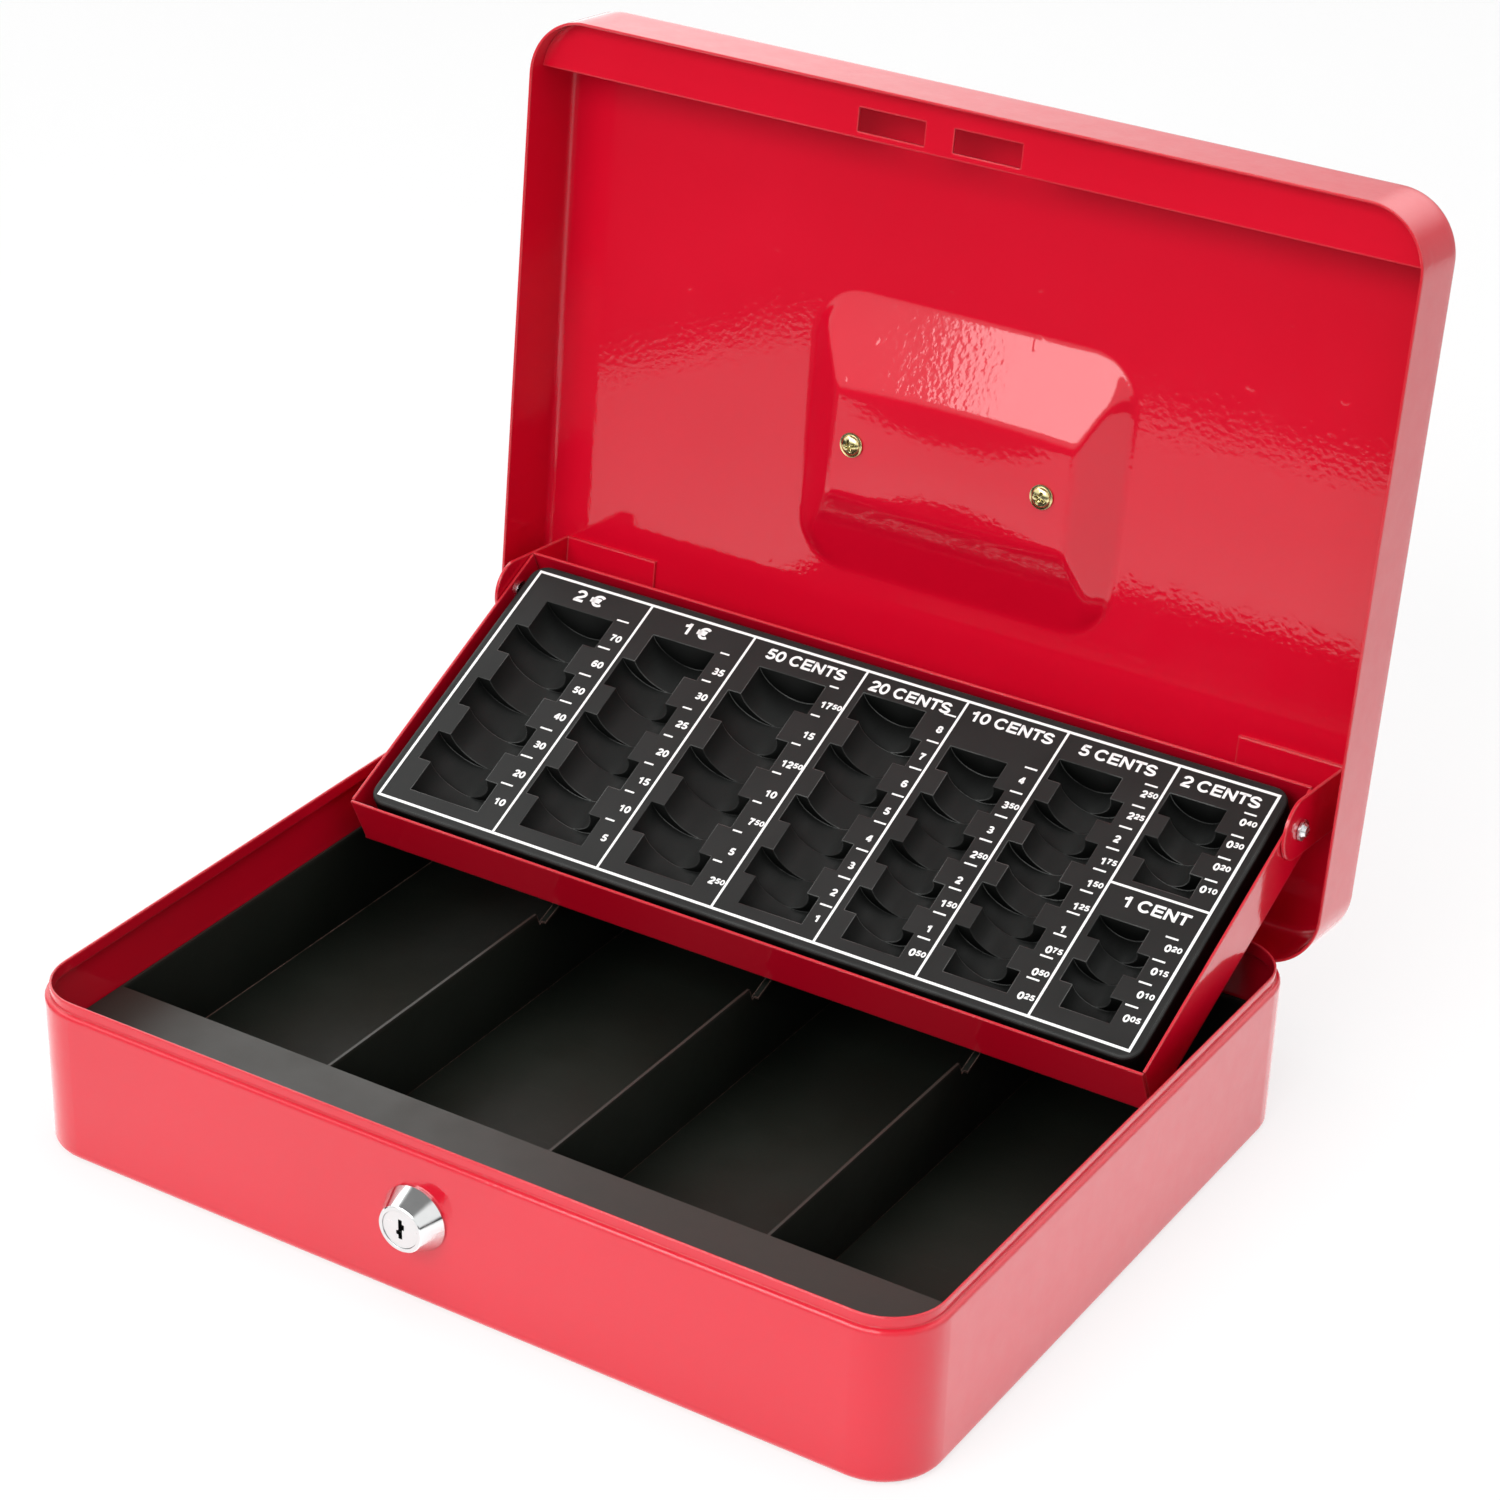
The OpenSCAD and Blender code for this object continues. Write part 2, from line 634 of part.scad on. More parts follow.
// round bar bent from the two pins through the legs into the grip
module handle_bail() lid_at() color(chrome) {
  half_w = lug_gap / 2 + 10;
  leg = norm([bail_reach, bail_rise]);
  bend = 4;
  pin_l = 12;
  translate([handle_x, bail_y, bail_z]) rotate([atan2(bail_rise, bail_reach), 0, 0]) {
    both_sides() {
      rod_x(0, 0, bail_r, half_w - bend - pin_l, half_w - bend);
      translate([half_w - bend, bend, 0]) rotate([0, 0, -90]) bail_bend(bend);
      rod_y(half_w, 0, bail_r, bend, leg - bend);
      translate([half_w - bend, leg - bend, 0]) bail_bend(bend);
    }
    rod_x(leg, 0, bail_r, bend - half_w, half_w - bend);
  }
}
module bail_bend(bend) rotate_extrude(angle = 90) translate([bend, 0]) circle(r = bail_r);

base_shell();
note_liner();
divider_left();
divider_middle();
divider_right();
lock_body();
lock_nut();
lock_plug();
lock_cam();
cam_screw();
latch_case();
latch_rivets();
hook_left();
hook_right();
hinge_base_leaf_left();
hinge_base_leaf_right();
hinge_lid_leaf_left();
hinge_lid_leaf_right();
hinge_pins();
hinge_rivets_base();
hinge_rivets_lid();
lid_shell();
lid_lock_strip();
tray_bracket_left();
tray_bracket_right();
tray_pan();
coin_insert();
tray_rivets();
handle_lug_left();
handle_lug_right();
handle_screws();
handle_bail();
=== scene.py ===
"""A red enamelled cash box with its lid open and a black printed coin tray.

The box stands on z = 0 with its width along X, its front towards -Y and +Z up. Meshes are
made in mm, in the tray's or the closed lid's own coordinates, and then moved to where the
piece rests, in metres. Materials, lights and the camera are in metres.
"""
import json
import math
from collections import namedtuple

import bpy
import bmesh
from mathutils import Matrix, Vector


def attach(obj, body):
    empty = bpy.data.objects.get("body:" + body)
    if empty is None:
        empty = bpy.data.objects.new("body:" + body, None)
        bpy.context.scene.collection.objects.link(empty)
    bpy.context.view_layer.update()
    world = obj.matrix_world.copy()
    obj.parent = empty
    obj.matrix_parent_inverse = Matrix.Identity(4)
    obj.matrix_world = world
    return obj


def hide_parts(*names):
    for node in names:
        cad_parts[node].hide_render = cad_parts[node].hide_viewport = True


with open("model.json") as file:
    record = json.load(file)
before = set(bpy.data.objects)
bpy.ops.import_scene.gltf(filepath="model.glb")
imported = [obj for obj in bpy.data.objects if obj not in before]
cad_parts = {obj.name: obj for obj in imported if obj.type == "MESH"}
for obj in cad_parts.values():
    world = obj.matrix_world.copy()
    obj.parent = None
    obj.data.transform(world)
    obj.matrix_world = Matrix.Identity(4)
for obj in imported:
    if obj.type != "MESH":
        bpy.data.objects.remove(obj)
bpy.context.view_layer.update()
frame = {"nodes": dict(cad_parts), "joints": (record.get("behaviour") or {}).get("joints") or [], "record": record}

MM = 0.001
nodes = frame["nodes"]
joints = {j["name"]: j for j in frame["joints"]}
scene = bpy.context.scene


# ---------------------------------------------------------------- node helpers
class Nodes:
    """Adds nodes to a node tree and wires them up."""

    def __init__(self, tree):
        self.tree = tree

    def plug(self, socket, value):
        """Feeds a socket from an output, a number or a colour."""
        if isinstance(value, bpy.types.NodeSocket):
            self.tree.links.new(value, socket)
        elif socket.type == "RGBA":
            socket.default_value = (*value, 1)
        else:
            socket.default_value = value

    def node(self, kind, inputs=None, **settings):
        made = self.tree.nodes.new(kind)
        for key, value in settings.items():
            setattr(made, key, value)
        for key, value in (inputs or {}).items():
            self.plug(made.inputs[key], value)
        return made

    def axes(self, vector):
        return self.node("ShaderNodeSeparateXYZ", {0: vector}).outputs

    def span(self, value, source, to=(0.0, 1.0), **settings):
        """Maps the source range to another, held at its ends."""
        inputs = {"From Min": source[0], "From Max": source[1],
                  "To Min": to[0], "To Max": to[1], "Value": value}
        return self.node("ShaderNodeMapRange", inputs, **settings).outputs["Result"]

    def math(self, operation, a, b):
        return self.node("ShaderNodeMath", {0: a, 1: b}, operation=operation).outputs[0]

    def times(self, a, b):
        return self.math("MULTIPLY", a, b)


class Material(Nodes):
    """A node material round a Principled shader, textured in object coordinates."""

    SOCKETS = {"color": "Base Color", "rough": "Roughness", "metal": "Metallic",
               "normal": "Normal", "coat": "Coat Weight", "coat_rough": "Coat Roughness",
               "coat_normal": "Coat Normal", "spec": "Specular IOR Level"}

    def __init__(self, name):
        self.material = bpy.data.materials.new(name)
        self.material.use_nodes = True
        super().__init__(self.material.node_tree)
        self.principled = self.tree.nodes["Principled BSDF"]
        self.coords = self.node("ShaderNodeTexCoord").outputs["Object"]

    def stretched(self, scale):
        inputs = {"Scale": scale, "Vector": self.coords}
        return self.node("ShaderNodeMapping", inputs).outputs["Vector"]

    def noise(self, scale, detail=3.0, rough=0.5, coords=None):
        inputs = {"Scale": scale, "Detail": detail, "Roughness": rough,
                  "Vector": coords or self.coords}
        return self.node("ShaderNodeTexNoise", inputs).outputs["Fac"]

    def patches(self, source=(0.3, 0.7), to=(0.0, 1.0), **noise):
        """Noise with its source range mapped to another."""
        return self.span(self.noise(**noise), source, to)

    def mix(self, share, base, over):
        """A colour: base where share is 0, over where it is 1."""
        inputs = {0: share, 6: base, 7: over}
        return self.node("ShaderNodeMix", inputs, data_type="RGBA").outputs[2]

    def bump(self, height, strength, distance, normal=None):
        inputs = {"Strength": strength, "Distance": distance, "Height": height}
        if normal is not None:
            inputs["Normal"] = normal
        return self.node("ShaderNodeBump", inputs).outputs["Normal"]

    def bevel(self, radius):
        return self.node("ShaderNodeBevel", {"Radius": radius}, samples=4).outputs["Normal"]

    def geometry(self, output):
        return self.node("ShaderNodeNewGeometry").outputs[output]

    def edge(self, rounded):
        """About 1 on edges and 0 on flats, from a bevelled normal."""
        inputs = {0: self.geometry("Normal"), 1: rounded}
        dot = self.node("ShaderNodeVectorMath", inputs, operation="DOT_PRODUCT")
        return self.span(dot.outputs["Value"], source=(1.0, 0.86))

    def unshaded(self, distance):
        """1 in the open and 0 deep inside hollows, from ambient occlusion: the mask for painted shade in hollows.
        """
        occlusion = self.node("ShaderNodeAmbientOcclusion", {"Distance": distance}, samples=6)
        return self.span(occlusion.outputs["AO"], source=(0.32, 0.88))

    def finish(self, **inputs):
        for key, value in inputs.items():
            self.plug(self.principled.inputs[self.SOCKETS[key]], value)
        return self.material


# ---------------------------------------------------------------- materials
def red_paint(name):
    """Stoved enamel: clear gloss over red, orange peel, dust nibs and a painted pale highlight on crisp edges."""
    m = Material(name)
    peel = m.noise(scale=560, detail=1.5, rough=0.4)
    waves = m.noise(scale=30, detail=1.0, rough=0.4)
    nibs = m.patches(scale=150, detail=0.0, source=(0.80, 0.86))
    color = m.mix(m.patches(scale=9), base=(0.555, 0.0014, 0.016), over=(0.60, 0.0020, 0.020))
    soft = m.bevel(radius=0.0009)
    # painted highlight: crisp edges tinted pale pink
    painted_edge_highlight = m.times(m.edge(soft), 0.30)
    color = m.mix(painted_edge_highlight, base=color, over=(0.88, 0.19, 0.19))
    wavy = m.bump(waves, strength=0.0035, distance=0.004, normal=soft)
    peeled = m.bump(peel, strength=0.055, distance=0.0005, normal=wavy)
    return m.finish(
        color=color,
        rough=m.patches(scale=120, detail=4.0, rough=0.6, to=(0.34, 0.44)),
        normal=wavy,
        spec=0.05,
        coat=1.0,
        coat_rough=m.patches(scale=75, detail=4.0, rough=0.65, to=(0.035, 0.075)),
        coat_normal=m.bump(nibs, strength=0.10, distance=0.0003, normal=peeled))


def black_sheet(name):
    """Matt black lacquered sheet with fine grain, faint scuffs, bare brown edges and painted shade in its hollows.
    """
    m = Material(name)
    tone = m.patches(scale=14, detail=5.0, rough=0.6, source=(0.35, 0.7))
    color = m.mix(tone, base=(0.0085, 0.0115, 0.0085), over=(0.0125, 0.0155, 0.0120))
    # painted shade: colour near black and reflection weaker deep in the compartments and corners
    unshaded = m.unshaded(distance=0.05)
    color = m.mix(unshaded, base=(0.0030, 0.0042, 0.0030), over=color)
    scuffs = m.patches(scale=1.0, rough=0.6, coords=m.stretched((40, 900, 900)),
                       source=(0.66, 0.74), to=(0.0, 0.10))
    color = m.mix(scuffs, base=color, over=(0.06, 0.055, 0.05))
    edge_wear_and_highlight = m.times(m.edge(m.bevel(radius=0.0006)),
                        m.patches(scale=45, detail=4.0, rough=0.7,
                                  source=(0.35, 0.6), to=(0.25, 1.0)))
    color = m.mix(edge_wear_and_highlight, base=color, over=(0.20, 0.125, 0.105))
    grain = m.noise(scale=1500, rough=0.6)
    # rubbed smoother on the front ledge than down in the compartments
    height = m.axes(m.geometry("Position"))["Z"]
    rub = m.span(height, source=(0.0305, 0.0318))
    rub_polish = m.times(rub, 0.05)
    rub_shine = m.times(rub, 0.08)
    rough = m.patches(scale=60, detail=4.0, rough=0.6, to=(0.46, 0.56))
    return m.finish(
        color=m.mix(rub, base=color, over=(0.0215, 0.0218, 0.0182)),
        rough=m.math("SUBTRACT", rough, rub_polish),
        normal=m.bump(grain, strength=0.10, distance=0.0002),
        # reflection lower where the painted shade falls
        spec=m.math("ADD", rub_shine, m.span(unshaded, source=(0.0, 1.0), to=(0.10, 0.34))))


def black_plastic(name):
    """Moulded polystyrene with a fine eroded grain, soft edges, a painted grey highlight on edges and crests, and
    painted shade in its hollows.
    """
    m = Material(name)
    tone = m.patches(scale=22, detail=5.0, rough=0.6)
    color = m.mix(tone, base=(0.0118, 0.0126, 0.0120), over=(0.0175, 0.0183, 0.0177))
    # painted shade: colour near black and reflection weaker deep in the cradles and slits
    unshaded = m.unshaded(distance=0.012)
    color = m.mix(unshaded, base=(0.0022, 0.0025, 0.0023), over=color)
    # painted highlight: patchy light grey tint on crisp edges and crests
    edge_wear_and_highlight = m.times(m.edge(m.bevel(radius=0.0005)), 0.6)
    edge_wear_and_highlight = m.times(edge_wear_and_highlight, m.patches(scale=55, detail=2.0,
                                             source=(0.42, 0.62), to=(0.15, 1.0)))
    grain = m.noise(scale=1900, detail=2.0)
    return m.finish(
        color=m.mix(edge_wear_and_highlight, base=color, over=(0.30, 0.31, 0.30)),
        rough=m.patches(scale=90, detail=4.0, rough=0.6, to=(0.42, 0.54)),
        normal=m.bump(grain, strength=0.14, distance=0.0002, normal=m.bevel(radius=0.0006)),
        spec=m.span(unshaded, source=(0.0, 1.0), to=(0.02, 0.24)))


def print_white(name):
    """White ink, worn grey in specks."""
    m = Material(name)
    wear = m.patches(scale=900, rough=0.7, source=(0.58, 0.75), to=(0.0, 0.35))
    grain = m.noise(scale=1600, detail=2.0)
    return m.finish(
        color=m.mix(wear, base=(0.84, 0.85, 0.84), over=(0.42, 0.42, 0.42)),
        rough=0.55,
        normal=m.bump(grain, strength=0.12, distance=0.00015),
        spec=0.3)


def chrome(name, polish):
    """Polished chrome, least rough at polish; faces square to the front are satin."""
    m = Material(name)
    tone = m.patches(scale=60, detail=4.0, rough=0.6)
    color = m.mix(tone, base=(0.66, 0.67, 0.67), over=(0.74, 0.75, 0.75))
    satin = m.span(m.axes(m.geometry("Normal"))["Y"], source=(-0.93, -0.98))
    satin_rough = m.times(satin, 0.20)
    rough = m.patches(scale=240, detail=4.0, rough=0.65,
                      source=(0.3, 0.75), to=(polish, polish + 0.11))
    dimples = m.noise(scale=420, detail=2.0)
    return m.finish(
        color=m.mix(satin, base=color, over=(0.52, 0.53, 0.53)),
        metal=1.0,
        rough=m.math("ADD", rough, satin_rough),
        normal=m.bump(dimples, strength=0.05, distance=0.0003,
                      normal=m.bevel(radius=0.00025)))


def zinc(name):
    """Brushed zinc-plated steel."""
    m = Material(name)
    brush = m.noise(scale=1.0, detail=4.0, rough=0.6, coords=m.stretched((900, 60, 900)))
    cloud = m.patches(scale=90, detail=4.0, rough=0.6)
    return m.finish(
        color=m.mix(cloud, base=(0.60, 0.61, 0.62), over=(0.76, 0.77, 0.78)),
        metal=1.0,
        rough=m.span(brush, source=(0.3, 0.7), to=(0.18, 0.34)),
        normal=m.bump(brush, strength=0.10, distance=0.0002, normal=m.bevel(radius=0.0002)))


def brass(name):
    """Yellow passivated zinc on small screws, with painted shade in the cross recesses."""
    m = Material(name)
    color = m.mix(m.patches(scale=260), base=(0.74, 0.65, 0.30), over=(0.84, 0.76, 0.42))
    dimples = m.noise(scale=700, detail=2.0)
    return m.finish(
        # painted shade: dark brown deep in the cross recess
        color=m.mix(m.unshaded(distance=0.0012), base=(0.06, 0.05, 0.02), over=color),
        metal=1.0,
        rough=m.patches(scale=400, rough=0.6, to=(0.14, 0.24)),
        normal=m.bump(dimples, strength=0.03, distance=0.0001))


MATERIALS = {
    "body_paint": red_paint("enamel_body"),
    "lid_paint": red_paint("enamel_lid"),
    "tray_paint": red_paint("enamel_tray"),
    "lining_black": black_sheet("lacquer_black"),
    "insert_black": black_plastic("plastic_black"),
    "lock_chrome": chrome("chrome_lock", polish=0.07),
    "handle_chrome": chrome("chrome_handle", polish=0.05),
    "zinc_steel": zinc("zinc_steel"),
    "screw_brass": brass("screw_brass"),
    "print_white": print_white("print_white"),
}
for part in frame["record"]["subparts"]:
    slots = nodes[part["node"]].data.materials
    slots.clear()
    slots.append(MATERIALS[part["material_slot"]])


# ---------------------------------------------------------------- mesh helpers
def add_object(name, data):
    made = bpy.data.objects.new(name, data)
    scene.collection.objects.link(made)
    return made


def add_part(mesh, name, material, body):
    """Adds a mesh that moves with one of the frame's bodies."""
    part = add_object(name, mesh)
    mesh.materials.append(MATERIALS[material])
    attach(part, body)
    return part


def to_mesh(bm, name, recalc=True):
    if recalc:
        bmesh.ops.recalc_face_normals(bm, faces=bm.faces)
    mesh = bpy.data.meshes.new(name)
    bm.to_mesh(mesh)
    bm.free()
    return mesh


def smooth(mesh):
    mesh.polygons.foreach_set("use_smooth", [True] * len(mesh.polygons))


def join_rings(bm, rings):
    """Joins each closed ring of vertices to the next with quads."""
    for ring, following in zip(rings, rings[1:]):
        for i in range(len(ring)):
            j = (i + 1) % len(ring)
            bm.faces.new((ring[i], ring[j], following[j], following[i]))


# ---------------------------------------------------------------- tray's place
# Tray coordinates are x, u (towards the back) and v (up), from the insert's centre and top.
TRAY_TILT = math.radians(25.1)
TRAY_PIVOT_U, TRAY_PIVOT_V = 44.1, -5.6


def tray_matrix():
    """From tray coordinates in mm to the frame in metres, at rest."""
    pivot = Vector(joints["tray_pivot"]["pos_m"]) / MM
    tilt = Matrix.Rotation(TRAY_TILT, 4, "X")
    to_pivot = Matrix.Translation(Vector((0, -TRAY_PIVOT_U, -TRAY_PIVOT_V)))
    placed = Matrix.Translation(pivot) @ tilt @ to_pivot
    return Matrix.Scale(MM, 4) @ placed


# ---------------------------------------------------------------- lettering
INK_BASE, INK_TOP = 0.005, 0.05  # v of the ink's two faces

# height of the capitals, width stretch, stroke weight and the tightening between letters;
# the last two are shares of the height
Style = namedtuple("Style", "height stretch weight tighten", defaults=(0.0,))


def arc(cx, cy, rx, ry, start, end, steps):
    """Points on an ellipse between two angles in degrees."""
    angles = [math.radians(start + (end - start) * i / steps) for i in range(steps + 1)]
    return [(cx + rx * math.cos(a), cy + ry * math.sin(a)) for a in angles]


# plain grotesque letters in a box 1 high: advance, then the centre lines of the strokes
GLYPHS = {
    "0": (0.60, [arc(0.28, 0.5, 0.195, 0.42, 0, 360, 28)]),
    "1": (0.60, [[(0.08, 0.71), (0.20, 0.74), (0.29, 0.82), (0.325, 0.96)],
                 [(0.34, 0.0), (0.34, 0.99)]]),
    "2": (0.60, [arc(0.28, 0.68, 0.19, 0.24, 170, -28, 16)
                 + [(0.33, 0.42), (0.17, 0.28), (0.09, 0.09), (0.09, 0.08)],
                 [(0.04, 0.085), (0.51, 0.085)]]),
    "3": (0.60, [arc(0.265, 0.715, 0.175, 0.205, 155, -90, 14)
                 + arc(0.265, 0.295, 0.205, 0.215, 90, -155, 16)[1:]]),
    "4": (0.60, [[(0.385, 0.0), (0.385, 0.99)], [(0.34, 0.93), (0.075, 0.33)],
                 [(0.03, 0.275), (0.54, 0.275)]]),
    "5": (0.60, [[(0.49, 0.915), (0.15, 0.915)], [(0.17, 0.95), (0.115, 0.46)],
                 arc(0.27, 0.315, 0.205, 0.24, 128, -158, 18)]),
    "6": (0.60, [arc(0.285, 0.31, 0.20, 0.235, 0, 360, 24),
                 arc(0.305, 0.49, 0.22, 0.43, 42, 178, 16) + [(0.085, 0.33)]]),
    "7": (0.60, [[(0.04, 0.915), (0.52, 0.915)],
                 [(0.455, 0.90), (0.33, 0.66), (0.24, 0.36), (0.215, 0.0)]]),
    "8": (0.60, [arc(0.28, 0.715, 0.165, 0.205, 0, 360, 22),
                 arc(0.28, 0.29, 0.20, 0.215, 0, 360, 24)]),
    "C": (0.76, [arc(0.37, 0.5, 0.285, 0.42, 38, 322, 26)]),
    "E": (0.68, [[(0.12, 0.0), (0.12, 1.0)], [(0.12, 0.915), (0.60, 0.915)],
                 [(0.12, 0.515), (0.56, 0.515)], [(0.12, 0.085), (0.61, 0.085)]]),
    "N": (0.74, [[(0.115, 0.0), (0.115, 1.0)], [(0.585, 0.0), (0.585, 1.0)],
                 [(0.125, 0.93), (0.575, 0.07)]]),
    "T": (0.64, [[(0.02, 0.915), (0.60, 0.915)], [(0.31, 0.0), (0.31, 0.92)]]),
    "S": (0.69, [arc(0.32, 0.705, 0.215, 0.215, 12, 215, 16) + [(0.22, 0.55), (0.42, 0.45)]
                 + arc(0.325, 0.29, 0.235, 0.21, 40, -168, 16)]),
    "\u20ac": (0.76, [arc(0.42, 0.5, 0.27, 0.42, 46, 314, 24),
                      [(0.0, 0.60), (0.52, 0.60)], [(0.0, 0.41), (0.49, 0.41)]]),
    " ": (0.30, []),
}


def add_rect(bm, x0, x1, u0, u1):
    corners = ((x0, u0), (x1, u0), (x1, u1), (x0, u1))
    verts = [bm.verts.new((x, u, v)) for v in (INK_BASE, INK_TOP) for x, u in corners]
    for face in ((3, 2, 1, 0), (4, 5, 6, 7), (0, 1, 5, 4), (1, 2, 6, 5), (2, 3, 7, 6),
                 (3, 0, 4, 7)):
        bm.faces.new([verts[i] for i in face])


def add_stroke(bm, points, half_width):
    """A flat bar of ink along the points, with mitred bends; closed if its ends meet."""
    closed = math.dist(points[0], points[-1]) < 1e-6
    if closed:
        points = points[:-1]
    points = [Vector(p) for p in points]
    count = len(points)
    rows = []
    for i, point in enumerate(points):
        steps = []
        if closed or i > 0:
            steps.append((point - points[i - 1]).normalized())
        if closed or i < count - 1:
            steps.append((points[(i + 1) % count] - point).normalized())
        direction, reach = steps[0], half_width
        if len(steps) == 2:
            direction = (steps[0] + steps[1]).normalized()
            reach = half_width / max(0.5, direction.dot(steps[0]))
        side = Vector((-direction.y, direction.x)) * reach
        pair = (point + side, point - side)
        rows.append([bm.verts.new((p.x, p.y, v)) for v in (INK_BASE, INK_TOP) for p in pair])
    for i in range(count if closed else count - 1):
        a, b = rows[i], rows[(i + 1) % count]
        bm.faces.new((a[2], a[3], b[3], b[2]))
        bm.faces.new((a[1], a[0], b[0], b[1]))
        bm.faces.new((a[0], a[2], b[2], b[0]))
        bm.faces.new((a[3], a[1], b[1], b[3]))
    if not closed:
        for row in (rows[0], rows[-1]):
            bm.faces.new((row[0], row[1], row[3], row[2]))


def text_width(text, style):
    advance = sum(GLYPHS[c][0] for c in text) - style.tighten * len(text)
    return advance * style.height * style.stretch


def add_text(bm, text, x, u, style):
    """Text that starts at x, centred on u; returns the x where it ends."""
    height, stretch = style.height, style.stretch
    for char in text:
        advance, strokes = GLYPHS[char]
        for stroke in strokes:
            points = [(x + px * height * stretch, u + (py - 0.5) * height)
                      for px, py in stroke]
            add_stroke(bm, points, style.weight * height / 2)
        x += (advance - style.tighten) * height * stretch
    return x


# ---------------------------------------------------------------- print on the insert
BORDER_X, BORDER_U, BORDER_WIDTH = 132.5, 49.5, 0.9  # half sizes to the line's middle
DIVIDERS_X = (-88.8, -49.9, -8.5, 27.4, 62.3, 99.8)
CROSS_DIVIDER_U = 2.9  # splits the rightmost column
HALF_DIVIDER, HALF_TICK = 0.4, 0.3
WHOLE = Style(height=2.55, stretch=1.36, weight=0.245)
FRACTION = Style(height=1.85, stretch=1.5, weight=0.25)
FRACTION_RISE = 0.35

# per column: the ticks' two ends in x, u of the back tick, u of the front tick, and the
# labels from the back as (whole and fraction, centre x, centre u)
COLUMNS = [
    (-97.0, -92.6, 40.2, -31.3, [
        ("70", -93.1, 33.1), ("60", -93.1, 21.6), ("50", -93.1, 10.0), ("40", -93.1, -1.6),
        ("30", -93.1, -13.9), ("20", -93.1, -26.3), ("10", -93.1, -38.2)]),
    (-57.5, -54.2, 39.8, -31.6, [
        ("35", -53.8, 32.4), ("30", -53.8, 21.7), ("25", -53.8, 9.5), ("20", -53.8, -2.5),
        ("15", -53.6, -14.5), ("10", -53.6, -26.2), ("5", -53.7, -38.4)]),
    (-17.2, -14.0, 39.9, -33.3, [
        ("17 50", -12.6, 32.5), ("15", -13.5, 19.9), ("12 50", -12.5, 7.5),
        ("10", -13.0, -4.7), ("7 50", -11.6, -16.3), ("5", -13.1, -28.6),
        ("2 50", -11.7, -40.4)]),
    (22.3, 26.4, 42.6, -36.0, [
        ("8", 24.2, 36.4), ("7", 24.2, 25.0), ("6", 24.2, 13.7), ("5", 24.3, 2.4),
        ("4", 24.3, -8.8), ("3", 24.3, -19.9), ("2", 24.3, -30.8), ("1", 24.3, -41.2)]),
    (55.8, 60.0, 32.6, -35.9, [
        ("4", 57.5, 27.6), ("3 50", 58.9, 17.4), ("3", 57.5, 7.3), ("2 50", 58.9, -2.8),
        ("2", 57.6, -13.0), ("1 50", 58.9, -22.3), ("1", 57.8, -32.2),
        ("0 50", 58.9, -41.7)]),
    (92.9, 97.1, 39.6, -37.1, [
        ("2 50", 96.2, 36.0), ("2 25", 96.2, 27.1), ("2", 94.7, 17.8), ("1 75", 96.2, 9.0),
        ("1 50", 96.2, 0.1), ("1 25", 96.2, -8.9), ("1", 94.9, -17.9), ("0 75", 96.2, -26.0),
        ("0 50", 96.2, -34.6), ("0 25", 96.2, -43.7)]),
    (125.4, 129.4, 40.2, 13.8, [
        ("0 40", 128.4, 36.7), ("0 30", 128.4, 27.9), ("0 20", 128.4, 19.0),
        ("0 10", 128.4, 10.1)]),
    (124.1, 128.2, -9.2, -35.2, [
        ("0 20", 128.4, -12.9), ("0 15", 128.4, -21.8), ("0 10", 128.4, -30.7),
        ("0 05", 128.4, -39.6)]),
]

# text, centre x, centre u, height, stretch before TITLE_STRETCH
TITLES = [
    ("2 \u20ac", -110.4, 44.9, 4.6, 1.5), ("1 \u20ac", -69.5, 44.9, 4.6, 1.35),
    ("50 CENTS", -28.7, 45.0, 4.1, 1.42), ("20 CENTS", 9.2, 44.8, 4.1, 1.42),
    ("10 CENTS", 44.8, 45.0, 4.1, 1.42), ("5 CENTS", 81.3, 44.8, 4.1, 1.45),
    ("2 CENTS", 115.7, 44.8, 4.1, 1.45), ("1 CENT", 117.3, -1.9, 4.1, 1.45),
]
TITLE_STRETCH, TITLE_WEIGHT, TITLE_TIGHTEN = 1.07, 0.215, 0.045


def add_lines(bm):
    half = BORDER_WIDTH / 2
    for u in (BORDER_U, -BORDER_U):
        add_rect(bm, -BORDER_X - half, BORDER_X + half, u - half, u + half)
    inner_u = BORDER_U - half
    for x in (-BORDER_X, BORDER_X):
        add_rect(bm, x - half, x + half, -inner_u, inner_u)
    for x in DIVIDERS_X:
        add_rect(bm, x - HALF_DIVIDER, x + HALF_DIVIDER, -inner_u, inner_u)
    add_rect(bm, DIVIDERS_X[-1] + HALF_DIVIDER, BORDER_X - half,
             CROSS_DIVIDER_U - HALF_DIVIDER, CROSS_DIVIDER_U + HALF_DIVIDER)


def add_scale(bm, tick_x0, tick_x1, back, front, labels):
    """A column's ticks at an even pitch, each followed by its label."""
    for i, (label, x, u) in enumerate(labels):
        tick_u = back + (front - back) * i / (len(labels) - 1)
        add_rect(bm, tick_x0, tick_x1, tick_u - HALF_TICK, tick_u + HALF_TICK)
        whole, _, fraction = label.partition(" ")
        width = text_width(whole, WHOLE) + text_width(fraction, FRACTION)
        end = add_text(bm, whole, x - width / 2, u, WHOLE)
        add_text(bm, fraction, end, u + FRACTION_RISE, FRACTION)


def make_print():
    bm = bmesh.new()
    add_lines(bm)
    for column in COLUMNS:
        add_scale(bm, *column)
    for text, x, u, height, stretch in TITLES:
        style = Style(height, stretch * TITLE_STRETCH, TITLE_WEIGHT, TITLE_TIGHTEN)
        add_text(bm, text, x - text_width(text, style) / 2, u, style)
    bmesh.ops.remove_doubles(bm, verts=bm.verts, dist=1e-5)
    mesh = to_mesh(bm, "tray_print")
    mesh.transform(tray_matrix())
    add_part(mesh, "tray_print", "print_white", "tray")


